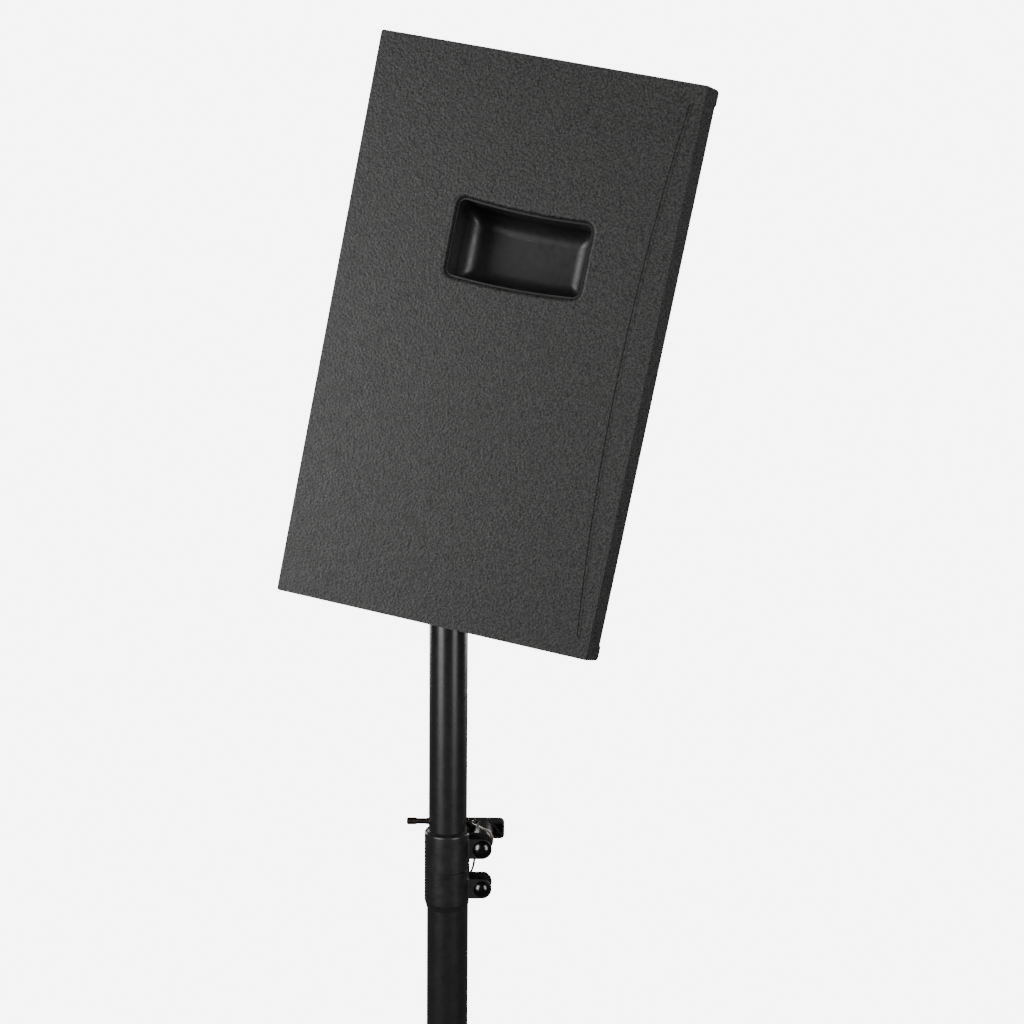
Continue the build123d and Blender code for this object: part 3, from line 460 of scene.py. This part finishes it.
def make_lead(line):
    """Crimped sleeve by the ring."""
    count = next(i for i in range(2, len(line)) if line_length(line[:i]) >= LEAD)
    part = line[:count]
    radii = [CORD_DIAMETER / 2 + LEAD_WALL] * count
    radii[0] = radii[-1] = CORD_DIAMETER / 2 - LEAD_TUCK
    bm = bmesh.new()
    round_tube(bm, part, radii)
    lead = piece_from("lanyard_lead", bm, "lanyard_coat")
    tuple(part[-1])
    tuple(part[0])
    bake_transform(lead)
    return lead


def make_lanyard():
    """Wire from the pin's ring, over the far ear and round to its crimp on the bolt."""
    route = [Vector(point) + Vector((POLE_X, 0, 0)) for point in CORD_ROUTE]
    line = smooth_line("lanyard_route", route)
    bm = bmesh.new()
    wire_rope(bm, line, CORD_DIAMETER / 2)
    wire = piece_from("lanyard_wire", bm, "lanyard_coat")
    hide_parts("lanyard")
    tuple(line[0])
    line_length(line)
    make_lead(line)
    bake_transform(wire)


# ---- grille -------------------------------------------------------------------------------------
SHEET = 1.5 * MM
GRILLE_GAP = 0.4 * MM
GRILLE_BEND = 3 * MM                 # outer radius where the sheet turns back to the baffle
GRILLE_CORNER = 5 * MM
HOLE_PITCH = 6 * MM
HOLE_R = 2.75 * MM                   # centre to corner of a six-sided hole
HOLE_MARGIN = 6 * MM                 # plain sheet inside the bend
GRILLE_SCREWS = [(w * MM, v * MM) for w in (-117, 117) for v in (28, 268, 425)]
SCREW_MARGIN = 9 * MM


def rim_ring(u, inset, corner_steps=6):
    """Points of the grille's rounded outline, (w, v), at the distance u from the rear."""
    half = inner_half(u) - GRILLE_GAP - inset
    low = WALL + GRILLE_GAP + inset
    high = CABINET_HEIGHT - low
    radius = GRILLE_CORNER - inset
    centres = ((half - radius, high - radius), (radius - half, high - radius),
               (radius - half, low + radius), (half - radius, low + radius))
    ring = []
    for quarter, (w, v) in enumerate(centres):
        for step in range(corner_steps + 1):
            angle = pi / 2 * (quarter + step / corner_steps)
            ring.append((w + radius * cos(angle), v + radius * sin(angle)))
    return ring


def hole_centres(half, low, high):
    """Staggered hole centres inside the plain border and clear of the screws."""
    row_step = HOLE_PITCH * sqrt(3) / 2
    rows = int((high - low) / row_step)
    columns = int(2 * half / HOLE_PITCH)
    first_v = (low + high - rows * row_step) / 2
    first_w = -columns * HOLE_PITCH / 2
    centres = []
    for row in range(rows + 1):
        shift = HOLE_PITCH / 2 if row % 2 else 0.0
        for column in range(columns + 1 - row % 2):
            w = first_w + column * HOLE_PITCH + shift
            v = first_v + row * row_step
            if all((w - a) ** 2 + (v - b) ** 2 > SCREW_MARGIN ** 2 for a, b in GRILLE_SCREWS):
                centres.append((w, v))
    return centres


def perforated(border):
    """Corners and faces of the flat sheet inside the border, with its holes cut out."""
    points = [Vector(point) for point in border]
    edges = [(i, (i + 1) % len(border)) for i in range(len(border))]
    half = max(w for w, v in border) - HOLE_MARGIN
    low = min(v for w, v in border) + HOLE_MARGIN
    for w, v in hole_centres(half, low, CABINET_HEIGHT - low):
        start = len(points)
        for corner in range(6):
            angle = pi / 6 + pi / 3 * corner
            points.append(Vector((w + HOLE_R * cos(angle), v + HOLE_R * sin(angle))))
            edges.append((start + corner, start + (corner + 1) % 6))
    inside_with_holes = 2
    tolerance = 1e-7
    flat, _, faces, *_ = delaunay_2d_cdt(points, edges, [], inside_with_holes, tolerance, False)
    return flat, faces


def make_grille():
    """Perforated steel sheet with its edges bent back."""
    border = rim_ring(GRILLE_U, GRILLE_BEND)
    flat, faces = perforated(border)
    bm = bmesh.new()
    verts = [bm.verts.new(in_cabinet(GRILLE_U, w, v)) for w, v in flat]
    for face in faces:
        bm.faces.new([verts[i] for i in face])
    before = verts[:len(border)]
    bend_steps = 4
    for step in range(1, bend_steps + 1):
        angle = pi / 2 * step / bend_steps
        u = GRILLE_U - GRILLE_BEND * (1 - cos(angle))
        inset = GRILLE_BEND * (1 - sin(angle))
        ring = [bm.verts.new(in_cabinet(u, w, v)) for w, v in rim_ring(u, inset)]
        bridge(bm, before, ring)
        before = ring
    ring = [bm.verts.new(in_cabinet(BAFFLE_U, w, v)) for w, v in rim_ring(BAFFLE_U, 0)]
    bridge(bm, before, ring)
    sheet = piece_from("grille_sheet", bm, "grille_steel", smooth=False)
    thicken(sheet, SHEET)
    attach(sheet, "cabinet")
    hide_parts("grille")


FOAM_FRONT = GRILLE_U - SHEET - 0.3 * MM
FOAM_THICK = 3.2 * MM
FOAM_GAP = 3.2 * MM
FOAM_GRID = (100, 165)               # faces across and up
FOAM_SINK = 0.2 * MM                 # the front lies this far back, and its lumps stay within it
FOAM_LUMP = 0.15 * MM
FOAM_LUMP_SIZE = 9 * MM
FOAM_ROUNDING = 0.5 * MM             # how far the cut edge rolls back, over its last 2 mm
FOAM_EDGE = 2 * MM


def make_foam():
    """Thin acoustic foam behind the grille, uneven as cut foam is."""
    half = inner_half(FOAM_FRONT - FOAM_THICK) - FOAM_GAP
    low = WALL + FOAM_GAP
    high = CABINET_HEIGHT - low
    columns, rows = FOAM_GRID
    bm = bmesh.new()
    grid = []
    for row in range(rows + 1):
        line = []
        for column in range(columns + 1):
            w = half * (2 * column / columns - 1)
            v = low + (high - low) * row / rows
            edge = min(half - abs(w), v - low, high - v) / FOAM_EDGE
            rounding = FOAM_ROUNDING * max(0.0, 1 - edge) ** 2
            lump = noise.noise(Vector((w, v, 0)) / FOAM_LUMP_SIZE) * FOAM_LUMP
            line.append(bm.verts.new(in_cabinet(FOAM_FRONT - FOAM_SINK - rounding + lump, w, v)))
        grid.append(line)
    for line, above in zip(grid, grid[1:]):
        bridge(bm, line, above, closed=False)
    foam = piece_from("foam_sheet", bm, "foam")
    thicken(foam, FOAM_THICK - FOAM_ROUNDING)
    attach(foam, "cabinet")
    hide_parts("grille_foam")


# ---- woofer surround ----------------------------------------------------------------------------
ON_BAFFLE = CABINET @ Matrix.Translation((BAFFLE_U, 0, WOOFER_V)) @ Matrix.Rotation(pi / 2, 4, "Y")
LIP_IN, ROLL_IN, ROLL_OUT, LIP_OUT = 74.2 * MM, 78.5 * MM, 91 * MM, 95.8 * MM
ROLL_RISE = 6 * MM
RUBBER = 0.9 * MM
UNDERSIDE = 0.05 * MM                # clear of the frame
SURROUND_PARTS = 12


def surround_section():
    """(radius, height) points over the top of the half roll and back underneath."""
    middle, half_span = (ROLL_IN + ROLL_OUT) / 2, (ROLL_OUT - ROLL_IN) / 2
    steps = 16
    section = []
    for base, shrink, order in ((RUBBER, 0.0, 1), (UNDERSIDE, RUBBER, -1)):
        reach, rise = half_span - shrink, ROLL_RISE - shrink / 2
        roll = []
        for step in range(steps + 1):
            angle = pi * (1 - step / steps)
            roll.append((middle + reach * cos(angle), base + rise * sin(angle)))
        layer = [(LIP_IN, base)] + roll + [(LIP_OUT, base)]
        section += layer[::order]
    return section


def make_surround():
    """Rubber half roll in sectors, each stretched between the cone and the frame."""
    section = surround_section()
    steps = 8
    for part in range(SURROUND_PARTS):
        first = 2 * pi * part / SURROUND_PARTS
        bm = bmesh.new()
        rings = []
        for step in range(steps + 1):
            angle = first + 2 * pi / SURROUND_PARTS * step / steps
            rings.append([
                bm.verts.new(ON_BAFFLE @ Vector((radius * cos(angle), radius * sin(angle), height)))
                for radius, height in section])
        skin(bm, rings)
        sector = piece_from(f"surround_{part + 1}", bm, "surround_rubber")
        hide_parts("woofer_surround")
        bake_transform(sector)


# ---- cabinet screws -----------------------------------------------------------------------------
# A screw's half section, as (radius, height), and its cross recess, in millimetres.
HEAD_PROFILE = [
    (0.0, 2.5), (0.5, 2.48), (0.9, 2.44), (1.3, 2.38), (1.7, 2.3), (2.1, 2.18), (2.5, 2.06), (3.0, 1.9),
    (3.5, 1.6), (3.9, 1.3), (4.15, 0.95), (4.2, 0.8), (4.2, 0.0), (1.9, 0.0), (1.9, -10.0), (0.0, -12.0)]
HEAD_FACE = 1.0                      # points above this height are on the head's face
RECESS_ARM = 2.2                     # reach and half width of the cross recess
RECESS_HALF = 0.55
RECESS_DEPTH = 1.3

# Places on each face, in millimetres.
PLATE_SCREWS = [(w, v) for w in (-55.5, 55.5) for v in (124.5, 181.5)]
SOCKET_SCREWS = [(du, w) for du in (-76, 0, 76) for w in (-29, 29)]
CUP_SCREWS = [(s, v) for s in (80.4, 199.6) for v in (290, 325)]
CUP_SEAT = 18 * MM                   # inside the side panel's face
CUP_SCREW_SCALE = 0.8


def pan_screw(bm, place, scale=1.0, sides=32):
    """Pan-head screw with a cross recess.  Its seat is at the place's origin and it points along -Z."""
    before = None
    for radius, height in HEAD_PROFILE:
        count = 1 if radius == 0.0 else sides
        ring = []
        for k in range(count):
            angle = 2 * pi * (k + 0.5) / sides
            x, y = radius * cos(angle), radius * sin(angle)
            on_arm = min(abs(x), abs(y)) < RECESS_HALF and radius < RECESS_ARM
            in_cross = on_arm and height > HEAD_FACE
            drop = RECESS_DEPTH * (1 - radius / RECESS_ARM * 0.5) if in_cross else 0.0
            ring.append(bm.verts.new(place @ (Vector((x, y, height - drop)) * MM * scale)))
        if before is None:
            before = ring
            continue
        if len(before) == 1 or len(ring) == 1:
            centre, rim = (before[0], ring) if len(before) == 1 else (ring[0], before)
            for k in range(sides):
                bm.faces.new((centre, rim[k], rim[(k + 1) % sides]))
        else:
            bridge(bm, before, ring)
        before = ring


def facing(point, axis, turn):
    """Place in the cabinet with +Z along the axis, turned about it by any angle."""
    rotation = Vector(axis).to_track_quat("Z", "Y").to_matrix().to_4x4()
    return CABINET @ Matrix.Translation(point) @ rotation @ Matrix.Rotation(turn, 4, "Z")


def make_cabinet_screws():
    """Screws of the grille, the connector plate, the pole socket and the grip cups."""
    bm = bmesh.new()
    places = [facing((GRILLE_U, w, v), (1, 0, 0), 7 * w + v) for w, v in GRILLE_SCREWS]
    for w, v in PLATE_SCREWS:
        places.append(facing((0, w * MM, v * MM), (-1, 0, 0), w + v))
    socket_middle = (SOCKET_U + SPARE_SOCKET_U) / 2 - 4 * MM
    for du, w in SOCKET_SCREWS:
        places.append(facing((socket_middle + du * MM, w * MM, 0), (0, 0, -1), du + w))
    for place in places:
        pan_screw(bm, place)
    for side in (-1, 1):
        out = Vector((-sin(SPLAY), side * cos(SPLAY), 0))
        for s, v in CUP_SCREWS:
            along = s * MM
            on_face = Vector((along * cos(SPLAY), side * (REAR_HALF + along * sin(SPLAY)), v * MM))
            pan_screw(bm, facing(on_face - out * CUP_SEAT, -out, s), CUP_SCREW_SCALE)
    screws = piece_from("cross_head_screws", bm, "screw_steel", smooth=False)
    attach(screws, "cabinet")
    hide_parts("cabinet_screws")


# ---- stage --------------------------------------------------------------------------------------
def softbox(name, azimuth, distance, height, size, power, aim):
    """Large rectangular light.  Azimuth 0 is on the camera's side, and it grows to the right."""
    data = bpy.data.lights.new(name, "AREA")
    data.shape = "RECTANGLE"
    data.size, data.size_y = size
    data.energy = power
    light = bpy.data.objects.new(name, data)
    turn = radians(azimuth)
    light.location = (POLE_X + distance * sin(turn), -distance * cos(turn), height)
    light.rotation_euler = (aim - light.location).to_track_quat("-Z", "Y").to_euler()
    light.visible_camera = False
    bpy.context.scene.collection.objects.link(light)


SURROUND_GREY = 0.07                 # what lights the object from all round
BACKDROP_WHITE = 7.0                 # what the camera sees behind it


def make_lights():
    """Two tall softboxes on the camera's side, two behind, an even dim surround and a white backdrop."""
    chest = Vector((POLE_X, 0, 1.35))
    softbox("softbox_left", -43, 2.2, 1.5, (1.15, 1.6), 52, chest)
    softbox("softbox_right", 40, 2.2, 1.5, (0.85, 1.6), 29, chest)
    softbox("softbox_rear_left", -138, 2.6, 1.7, (0.9, 2.0), 34, chest)
    softbox("softbox_rear_right", 132, 2.6, 1.7, (1.1, 2.0), 44, chest)
    world = bpy.data.worlds.new("studio")
    world.use_nodes = True
    nodes, links = world.node_tree.nodes, world.node_tree.links
    surround = nodes["Background"]
    surround.inputs["Color"].default_value = (*grey(SURROUND_GREY), 1)
    backdrop = nodes.new("ShaderNodeBackground")
    backdrop.inputs["Color"].default_value = (1, 1, 1, 1)
    backdrop.inputs["Strength"].default_value = BACKDROP_WHITE
    mix = nodes.new("ShaderNodeMixShader")
    seen = nodes.new("ShaderNodeLightPath")
    links.new(seen.outputs["Is Camera Ray"], mix.inputs["Fac"])
    links.new(surround.outputs["Background"], mix.inputs[1])
    links.new(backdrop.outputs["Background"], mix.inputs[2])
    links.new(mix.outputs["Shader"], nodes["World Output"].inputs["Surface"])
    bpy.context.scene.world = world


FLOOR_RADIUS = 1.45
FLOOR_GLOW = 0.25


def make_floor():
    """Round pale floor under the tripod, which fades out towards its edge."""
    bm = bmesh.new()
    bmesh.ops.create_circle(bm, cap_ends=True, segments=128, radius=FLOOR_RADIUS)
    bmesh.ops.translate(bm, verts=bm.verts, vec=(0, 0, FLOOR_Z))
    mesh = bpy.data.meshes.new("floor")
    bm.to_mesh(mesh)
    bm.free()
    paper = Finish("floor_paper", specular=0.2)
    paper.colour(paper.noise(0.3, 2), grey(0.78), grey(0.82))
    paper.rough(paper.noise(0.05), 0.7, 0.8)
    paper.shader.inputs["Emission Color"].default_value = (1, 1, 1, 1)
    paper.shader.inputs["Emission Strength"].default_value = FLOOR_GLOW
    from_middle = paper.nodes.new("ShaderNodeTexGradient")
    from_middle.gradient_type = "SPHERICAL"
    paper.links.new(paper.stretched([1 / FLOOR_RADIUS] * 3), from_middle.inputs["Vector"])
    fade = paper.nodes.new("ShaderNodeMapRange")
    fade.interpolation_type = "SMOOTHSTEP"
    fade.inputs["From Min"].default_value = 0.02
    fade.inputs["From Max"].default_value = 0.5
    paper.links.new(from_middle.outputs["Fac"], fade.inputs["Value"])
    paper.links.new(fade.outputs["Result"], paper.shader.inputs["Alpha"])
    mesh.materials.append(paper.material)
    floor = bpy.data.objects.new("floor", mesh)
    floor.visible_diffuse = False
    floor.visible_glossy = False
    bpy.context.scene.collection.objects.link(floor)


make_camera()
make_lanyard()
finish_cad_nodes()
make_grille()
make_foam()
make_surround()
make_cabinet_screws()
make_lights()
make_floor()
